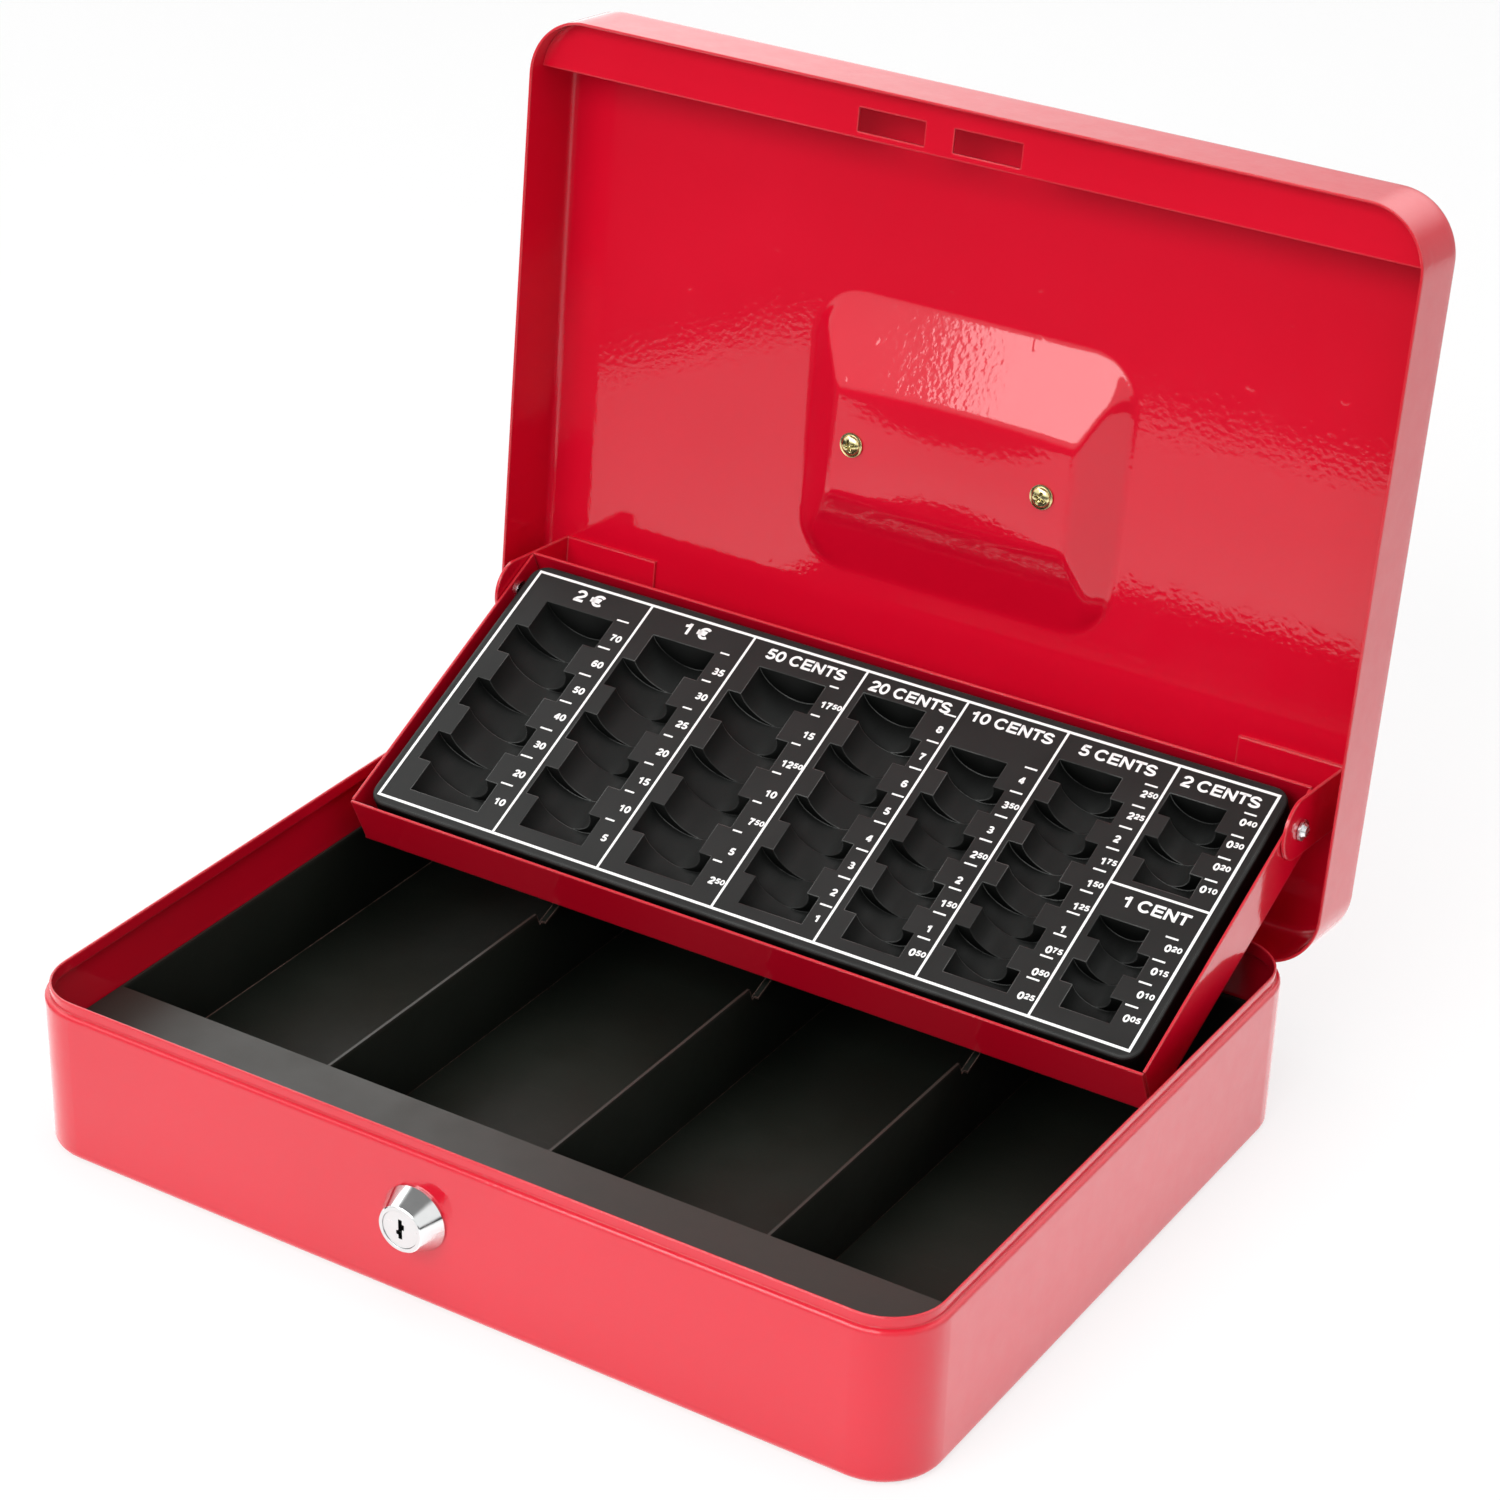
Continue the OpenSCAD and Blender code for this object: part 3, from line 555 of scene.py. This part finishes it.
make_print()


# ---------------------------------------------------------------- lid
# The lid is drawn closed, in the frame's axes, and then swung open about its hinge.
LID_OPEN = math.radians(95.7)
LID_TOP, LID_RIM = 75.745, 50.15  # z
LID_Y = 2.35                      # middle of the lid
LID_HALF_X, LID_HALF_Y = 149.99, 117.315
LID_CORNER, LID_ROLL = 19.0, 3.0  # radii of the upright corners and of the top edge
LID_SHEET = 0.8
SKIRT_RISES = (0.0, 0.5, 6.0, 14.0, 20.0, 22.6)  # rings above the rim
FLAT_HALF_X, FLAT_HALF_Y = 147.0, 114.35  # where the flat top begins

# stamped handle recess: its middle, depth, half sizes and the run of each sloping side
RECESS_X, RECESS_Y, RECESS_DEPTH = 2.0, -0.2, 10.8
RECESS_HALF_X, RECESS_HALF_Y, RECESS_CORNER = 56.0, 45.0, 18.0
RUN_RIGHT, RUN_LEFT, RUN_Y = 13.5, 15.2, 28.0
RECESS_MARGIN = 4.0    # the finer rings start this far outside
FLOOR_SHIFT = 0.8      # of the recess floor in x
FLOOR_HALF_X, FLOOR_HALF_Y = 43.2, 19.5
LONG_STEPS, SHORT_STEPS, CORNER_STEPS = 84, 64, 20  # of a ring, along x, y and a corner


def lid_matrix():
    """From the closed lid in mm to the frame in metres, at rest."""
    hinge_y, hinge_z = (v / MM for v in joints["lid_hinge"]["pos_m"][1:])
    hinge = Vector((0, hinge_y, hinge_z))
    swing = Matrix.Rotation(-LID_OPEN, 4, "X")
    return (Matrix.Scale(MM, 4) @ Matrix.Translation(hinge) @ swing
            @ Matrix.Translation(-hinge))


def rounded_loop(cx, cy, half_x, half_y, radius):
    """Points round a rounded rectangle, as many on each side and corner whatever its size."""
    centres = [(cx + sx * (half_x - radius), cy + sy * (half_y - radius))
               for sx, sy in ((1, -1), (1, 1), (-1, 1), (-1, -1))]
    points = []
    for quarter, (x, y) in enumerate(centres):
        start = -math.pi / 2 + quarter * math.pi / 2
        for i in range(CORNER_STEPS):
            angle = start + math.pi / 2 * i / CORNER_STEPS
            points.append((x + radius * math.cos(angle), y + radius * math.sin(angle)))
        end = start + math.pi / 2
        dx, dy = radius * math.cos(end), radius * math.sin(end)
        next_x, next_y = centres[(quarter + 1) % 4]
        x0, y0, x1, y1 = x + dx, y + dy, next_x + dx, next_y + dy
        steps = SHORT_STEPS if quarter % 2 == 0 else LONG_STEPS
        for i in range(steps):
            points.append((x0 + (x1 - x0) * i / steps, y0 + (y1 - y0) * i / steps))
    return points


def smooth_min(a, b, blend):
    overlap = max(blend - abs(a - b), 0.0) / blend
    return min(a, b) - overlap * overlap * blend / 4


def depth_inside(x, y, half_x, half_y, radius):
    """Distance inwards from a rounded rectangle's outline."""
    qx, qy = abs(x) - (half_x - radius), abs(y) - (half_y - radius)
    return -(math.hypot(max(qx, 0), max(qy, 0)) + min(max(qx, qy), 0) - radius)


def recess_depth(x, y):
    """Depth of the handle recess below the lid's top."""
    x, y = x - RECESS_X, y - RECESS_Y
    right = (RECESS_HALF_X - x) * RECESS_DEPTH / RUN_RIGHT
    left = (RECESS_HALF_X + x) * RECESS_DEPTH / RUN_LEFT
    ends = (RECESS_HALF_Y - abs(y)) * RECESS_DEPTH / RUN_Y
    # the floor is a little shallower away from its long middle line
    floor = RECESS_DEPTH - 0.45 * min(1.0, (y / 17.0) ** 2) * max(0.0, 1 - (x / 42.0) ** 2)
    depth = smooth_min(floor, right, blend=1.1)
    depth = smooth_min(depth, left, blend=1.1)
    depth = smooth_min(depth, ends, blend=0.9)
    outline = depth_inside(x, y, RECESS_HALF_X, RECESS_HALF_Y, RECESS_CORNER)
    depth = smooth_min(depth, outline * 0.85, blend=1.6)
    return -smooth_min(-depth, 0.0, blend=1.5)


def lerp(first, last, t):
    return [p + (q - p) * t for p, q in zip(first, last)]


def lid_rings():
    """Rings from the rim to the recess's middle: x, y, half x, half y, corner radius, z.

    A z of None puts the ring on the stamped top.
    """
    rings = [(0, LID_Y, LID_HALF_X, LID_HALF_Y, LID_CORNER, LID_RIM + rise)
             for rise in SKIRT_RISES]
    for i in range(1, 9):
        angle = math.pi / 2 * i / 8
        inset = LID_ROLL * (1 - math.cos(angle))
        rings.append((0, LID_Y, LID_HALF_X - inset, LID_HALF_Y - inset, LID_CORNER - inset,
                      LID_TOP - LID_ROLL + LID_ROLL * math.sin(angle)))
    half_x, half_y = RECESS_HALF_X + RECESS_MARGIN, RECESS_HALF_Y + RECESS_MARGIN
    radius = 20.0
    flat = (0, LID_Y, FLAT_HALF_X, FLAT_HALF_Y, LID_CORNER - LID_ROLL)
    for i in range(1, 13):
        ring = lerp(flat, (RECESS_X, RECESS_Y, half_x, half_y, radius), i / 12)
        rings.append((*ring, None))
    # fine rings over the recess's shoulder
    while half_x > 52.5:
        half_x, half_y, radius = half_x - 0.5, half_y - 0.5, radius - 0.45
        rings.append((RECESS_X, RECESS_Y, half_x, half_y, radius, None))
    # down the sloping sides
    shoulder = (half_x, half_y, radius)
    for i in range(1, 17):
        t = i / 16
        ring = lerp(shoulder, (FLOOR_HALF_X, FLOOR_HALF_Y, 1.4), t)
        rings.append((RECESS_X + FLOOR_SHIFT * t, RECESS_Y, *ring, None))
    # fine rings round the floor's border, then to its middle
    floor_x = RECESS_X + FLOOR_SHIFT
    half_x, half_y = FLOOR_HALF_X, FLOOR_HALF_Y
    for _ in range(10):
        half_x, half_y = half_x - 0.45, half_y - 0.5
        rings.append((floor_x, RECESS_Y, half_x, half_y, 0.9, None))
    for i in range(1, 10):
        t = i / 10
        rings.append((floor_x, RECESS_Y, half_x - half_y * t, half_y * (1 - t),
                      max(0.9 * (1 - t), 0.05), None))
    return rings


def thicken(mesh, thickness):
    """Returns the mesh thickened inwards, and removes the original."""
    holder = add_object("tmp", mesh)
    solidify = holder.modifiers.new("s", "SOLIDIFY")
    solidify.thickness = thickness
    solidify.offset = -1.0
    bpy.context.view_layer.update()
    evaluated = holder.evaluated_get(bpy.context.evaluated_depsgraph_get())
    solid = bpy.data.meshes.new_from_object(evaluated)
    bpy.data.objects.remove(holder)
    bpy.data.meshes.remove(mesh)
    return solid


def make_lid():
    bm = bmesh.new()
    rows = []
    for *outline, z in lid_rings():
        rows.append([bm.verts.new((x, y, LID_TOP - recess_depth(x, y) if z is None else z))
                     for x, y in rounded_loop(*outline)])
    join_rings(bm, rows)
    bm.faces.new(rows[-1])
    bmesh.ops.remove_doubles(bm, verts=bm.verts, dist=1e-4)
    bmesh.ops.dissolve_degenerate(bm, edges=bm.edges, dist=1e-4)
    mesh = thicken(to_mesh(bm, "lid_pan"), LID_SHEET)
    mesh.name = "lid_pan"
    mesh.transform(lid_matrix())
    smooth(mesh)
    mesh.set_sharp_from_angle(angle=math.radians(50))
    part = add_part(mesh, "lid_pan", "lid_paint", "lid")
    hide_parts("lid_shell")


make_lid()


# ---------------------------------------------------------------- handle screws
SCREW_HALF_PITCH, SCREW_SEGMENTS = 33.5, 72
# shank and washer: radius, z from the sheet's face inside the lid
SHANK_AND_WASHER = [(1.5, 1.9), (1.5, -0.02), (3.95, -0.02), (4.0, -0.12), (4.0, -0.5),
                    (3.9, -0.62), (3.35, -0.66)]
DOME_RADIUS, DOME_DROP, DOME_HEIGHT = 3.2, 0.72, 1.35
CROSS_TURN = 20.0  # degrees, opposite ways on the two screws
CROSS_DEPTH, CROSS_HALF_WIDTH, CROSS_REACH, CROSS_HUB = 1.15, 0.46, 2.05, 1.05


def cross_cut(along, across, radius):
    """Depth of the cross recess, for distances from its two arms and from the centre."""
    near, far = min(along, across), max(along, across)
    arm = max(0.0, 1 - (near / CROSS_HALF_WIDTH) ** 4) * max(0.0, 1 - (far / CROSS_REACH) ** 3)
    hub = max(0.0, 1 - (radius / CROSS_HUB) ** 3)
    return CROSS_DEPTH * max(arm, hub)


def add_screw(bm, side, cy):
    cx = RECESS_X + side * SCREW_HALF_PITCH
    face = LID_TOP - RECESS_DEPTH - LID_SHEET
    dome = face - DOME_DROP
    profile = [(radius, face + z) for radius, z in SHANK_AND_WASHER] + [(DOME_RADIUS, dome)]
    for degrees in range(6, 90, 3):
        angle = math.radians(degrees)
        profile.append((DOME_RADIUS * math.cos(angle), dome - DOME_HEIGHT * math.sin(angle)))
    turn = math.radians(CROSS_TURN * side)
    c, s = math.cos(turn), math.sin(turn)
    rows = []
    for radius, z in profile:
        row = []
        for i in range(SCREW_SEGMENTS):
            angle = 2 * math.pi * i / SCREW_SEGMENTS
            x, y = radius * math.cos(angle), radius * math.sin(angle)
            cut = cross_cut(abs(x * c + y * s), abs(y * c - x * s), radius) if z < dome else 0.0
            row.append(bm.verts.new((cx + x, cy + y, z + cut)))
        rows.append(row)
    bm.faces.new(rows[0])
    join_rings(bm, rows)
    bm.faces.new(list(reversed(rows[-1])))


def make_screws():
    """Round washer-head screws through the recess floor, their heads inside the lid."""
    cad_screws = nodes["handle_screws"]
    to_lid = lid_matrix().inverted() @ cad_screws.matrix_world
    ys = [(to_lid @ vertex.co).y for vertex in cad_screws.data.vertices]
    bm = bmesh.new()
    for side in (-1, 1):
        add_screw(bm, side, (min(ys) + max(ys)) / 2)
    mesh = to_mesh(bm, "screw_heads")
    mesh.transform(lid_matrix())
    smooth(mesh)
    mesh.set_sharp_from_angle(angle=math.radians(40))
    part = add_part(mesh, "screw_heads", "screw_brass", "lid")
    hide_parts("handle_screws")


make_screws()


# ---------------------------------------------------------------- floor
FLOOR_FRONT, SWEEP_START, SWEEP_RADIUS = -4.0, 1.6, 1.2
FLOOR_HALF_WIDTH, SWEEP_TOP, FLOOR_DROP = 5, 4.5, 0.0002


def floor_material():
    """Pale paper that answers camera and glossy rays in its own ways."""
    m = Material("floor_paper")
    paper = m.mix(m.patches(scale=2.5, detail=2.0),
                  base=(0.86, 0.86, 0.86), over=(0.89, 0.89, 0.89))
    m.finish(color=paper, rough=0.8, spec=0.2)

    def glow(strength):
        inputs = {"Color": (1, 1, 1), "Strength": strength}
        return m.node("ShaderNodeEmission", inputs).outputs[0]

    def blend(share, base, over):
        return m.node("ShaderNodeMixShader", {0: share, 1: base, 2: over}).outputs[0]

    position = m.geometry("Position")
    x, y, _ = m.axes(position)
    rays = m.node("ShaderNodeLightPath").outputs
    gloss = rays["Is Glossy Ray"]
    # beyond the lit paper, to the front and left, a gloss surface sees a dark studio
    beyond = m.math("MAXIMUM", m.span(y, source=(-0.594, -0.612)),
                    m.span(x, source=(-0.475, -0.495)))
    fade = m.math("MAXIMUM", m.span(y, source=(-0.18, -0.50), to=(0.0, 0.22)),
                  m.span(x, source=(-0.22, -0.46), to=(0.0, 0.22)))
    dark = m.math("MAXIMUM", beyond, fade)
    # close to the box its reflection is brighter
    distance = m.node("ShaderNodeVectorMath", {0: position}, operation="LENGTH")
    near = m.span(distance.outputs["Value"], source=(0.18, 0.50), to=(0.50, 0.0))
    lit = m.node("ShaderNodeAddShader",
                 {0: m.principled.outputs[0], 1: glow(strength=m.times(near, gloss))})
    shader = blend(m.times(dark, gloss), base=lit.outputs[0], over=glow(strength=0.05))
    # the sweep's rise is open to reflections, which see the studio behind it
    rise = m.span(y, source=(1.10, 1.30))
    clear = m.node("ShaderNodeBsdfTransparent").outputs[0]
    shader = blend(m.times(rise, gloss), base=shader, over=clear)
    # to the camera it is mostly plain white
    whiteness = m.times(rays["Is Camera Ray"], 0.75)
    shader = blend(whiteness, base=shader, over=glow(strength=1.0))
    m.plug(m.tree.nodes["Material Output"].inputs["Surface"], shader)
    return m.material


def make_floor():
    """A sheet that runs flat under the box and sweeps up behind it."""
    profile = [(FLOOR_FRONT, 0.0), (SWEEP_START, 0.0)]
    for i in range(1, 17):
        angle = math.pi / 2 * i / 16
        profile.append((SWEEP_START + SWEEP_RADIUS * math.sin(angle),
                        SWEEP_RADIUS - SWEEP_RADIUS * math.cos(angle)))
    profile.append((SWEEP_START + SWEEP_RADIUS, SWEEP_TOP))
    bm = bmesh.new()
    rows = [[bm.verts.new((x, y, z - FLOOR_DROP)) for x in (-FLOOR_HALF_WIDTH, FLOOR_HALF_WIDTH)]
            for y, z in profile]
    for a, b in zip(rows, rows[1:]):
        bm.faces.new((a[0], a[1], b[1], b[0]))
    mesh = to_mesh(bm, "floor", recalc=False)
    floor = add_object("floor", mesh)
    smooth(mesh)
    mesh.materials.append(floor_material())


make_floor()


# ---------------------------------------------------------------- world and lights
def make_world():
    """White to the camera and an even soft fill.

    Reflections see a studio with a bright back, a dim ceiling and a dark front horizon.
    """
    world = bpy.data.worlds.new("studio")
    scene.world = world
    world.use_nodes = True
    sky = Nodes(world.node_tree)

    def ramp(value, source, to=(0.0, 1.0)):
        return sky.span(value, source, to, interpolation_type="SMOOTHSTEP")

    def mix(share, base, over):
        inputs = {0: share, 2: base, 3: over}
        return sky.node("ShaderNodeMix", inputs, data_type="FLOAT").outputs[0]

    x, y, z = sky.axes(sky.node("ShaderNodeTexCoord").outputs["Generated"])
    front = ramp(z, source=(0.04, 0.20), to=(0.05, 1.15))
    # a strip lamp high on the left, which only rounded edges and shoulders mirror
    strip = mix(ramp(z, source=(0.70, 0.80)), base=ramp(z, source=(0.55, 0.64)), over=0.0)
    lamp = mix(ramp(x, source=(-0.15, -0.35)), base=front, over=4.2)
    front = mix(strip, base=front, over=lamp)
    low_back = ramp(x, source=(-0.30, -0.60), to=(0.60, 1.60))
    back = mix(ramp(z, source=(0.12, 0.42)), base=low_back, over=2.3)
    studio = mix(ramp(y, source=(-0.10, 0.25)), base=front, over=back)
    studio = mix(ramp(z, source=(0.72, 0.88)), base=studio, over=0.30)
    rays = sky.node("ShaderNodeLightPath").outputs
    strength = mix(rays["Is Glossy Ray"], base=0.55, over=studio)
    strength = mix(rays["Is Camera Ray"], base=strength, over=1.0)
    background = sky.tree.nodes["Background"]
    sky.plug(background.inputs["Color"], (1, 1, 1))
    sky.plug(background.inputs["Strength"], strength)


def area_light(name, location, target, width, height, radiance, glossy=False):
    light = bpy.data.lights.new(name, "AREA")
    light.shape = "RECTANGLE"
    light.size, light.size_y = width, height
    light.energy = radiance * width * height * math.pi
    lamp = add_object(name, light)
    aim = (Vector(target) - Vector(location)).to_track_quat("-Z", "Y")
    lamp.matrix_world = Matrix.Translation(Vector(location)) @ aim.to_matrix().to_4x4()
    lamp.visible_glossy = glossy


def around(centre, azimuth, elevation, distance):
    """A point seen from the centre; azimuth in degrees from -Y towards +X."""
    a, e = math.radians(azimuth), math.radians(elevation)
    return (centre[0] + distance * math.sin(a) * math.cos(e),
            centre[1] - distance * math.cos(a) * math.cos(e),
            centre[2] + distance * math.sin(e))


make_world()
BOX_MIDDLE = (0.0, 0.15, 0.19)
area_light("softbox_front", target=BOX_MIDDLE, width=1.75, height=1.0, radiance=5.6, glossy=True,
           location=around(BOX_MIDDLE, azimuth=-4.0, elevation=33.0, distance=2.1))
area_light("softbox_top", location=(0.05, 0.15, 1.9), target=(0, 0.1, 0),
           width=1.8, height=1.6, radiance=2.1)
area_light("softbox_right", location=(1.9, -0.1, 0.8), target=(0.1, 0, 0.05),
           width=1.0, height=1.0, radiance=0.7)


# ---------------------------------------------------------------- camera
CAMERA_PLACE = (0.526604518, -0.825203356, 0.650753563)
CAMERA_FORWARD = (-0.45647395, 0.72873209, -0.51047141)
CAMERA_RIGHT = (0.84083092, 0.54091681, 0.02030677)


def make_camera():
    camera = bpy.data.cameras.new("camera")
    holder = add_object("camera", camera)
    camera.sensor_fit = "HORIZONTAL"
    camera.sensor_width = 36.0
    camera.lens = 94.02168
    camera.shift_x = 0.0349066667
    camera.shift_y = 0.1152733333
    camera.clip_start, camera.clip_end = 0.05, 30
    forward = Vector(CAMERA_FORWARD).normalized()
    up = Vector(CAMERA_RIGHT).normalized().cross(forward).normalized()
    right = forward.cross(up).normalized()
    matrix = Matrix((right, up, -forward)).transposed().to_4x4()
    matrix.translation = Vector(CAMERA_PLACE)
    holder.matrix_world = matrix
    scene.camera = holder


make_camera()
scene.view_settings.view_transform = "Standard"
scene.view_settings.look = "None"
